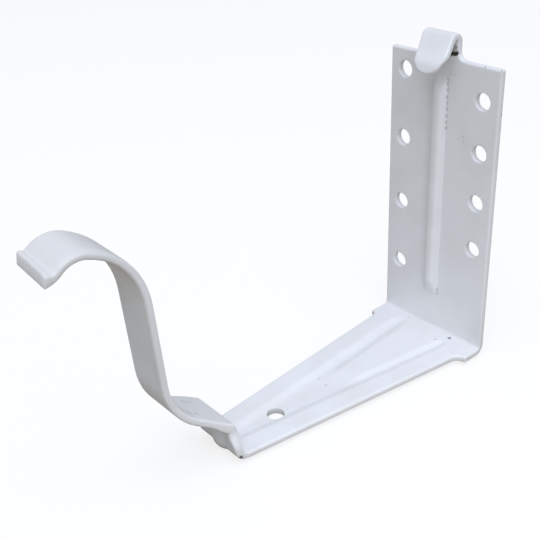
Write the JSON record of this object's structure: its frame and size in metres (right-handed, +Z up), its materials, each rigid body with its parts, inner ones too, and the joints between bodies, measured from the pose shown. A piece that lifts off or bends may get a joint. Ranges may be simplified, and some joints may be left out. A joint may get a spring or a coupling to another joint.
{
  "type": "gutter bracket",
  "caption": "External gutter bracket in pressed sheet steel: wall plate with a rear hook, tapered seat arm, and a front strap that follows an ogee gutter to a curved lip.",
  "frame": {"origin": "on the wall face of the plate, on its centre line, where that face starts to bend into the arm", "axes": "+Y towards the wall, so the arm runs along -Y; +Z up along the plate; +X across the bracket, to the right of someone who faces the wall"},
  "size_m": [0.05, 0.1677, 0.1251],
  "materials": {
    "white_powder_coat": "satin white powder coat on sheet steel"
  },
  "bodies": {
    "root": {"bracket": "white_powder_coat"}
  },
  "joints": []
}
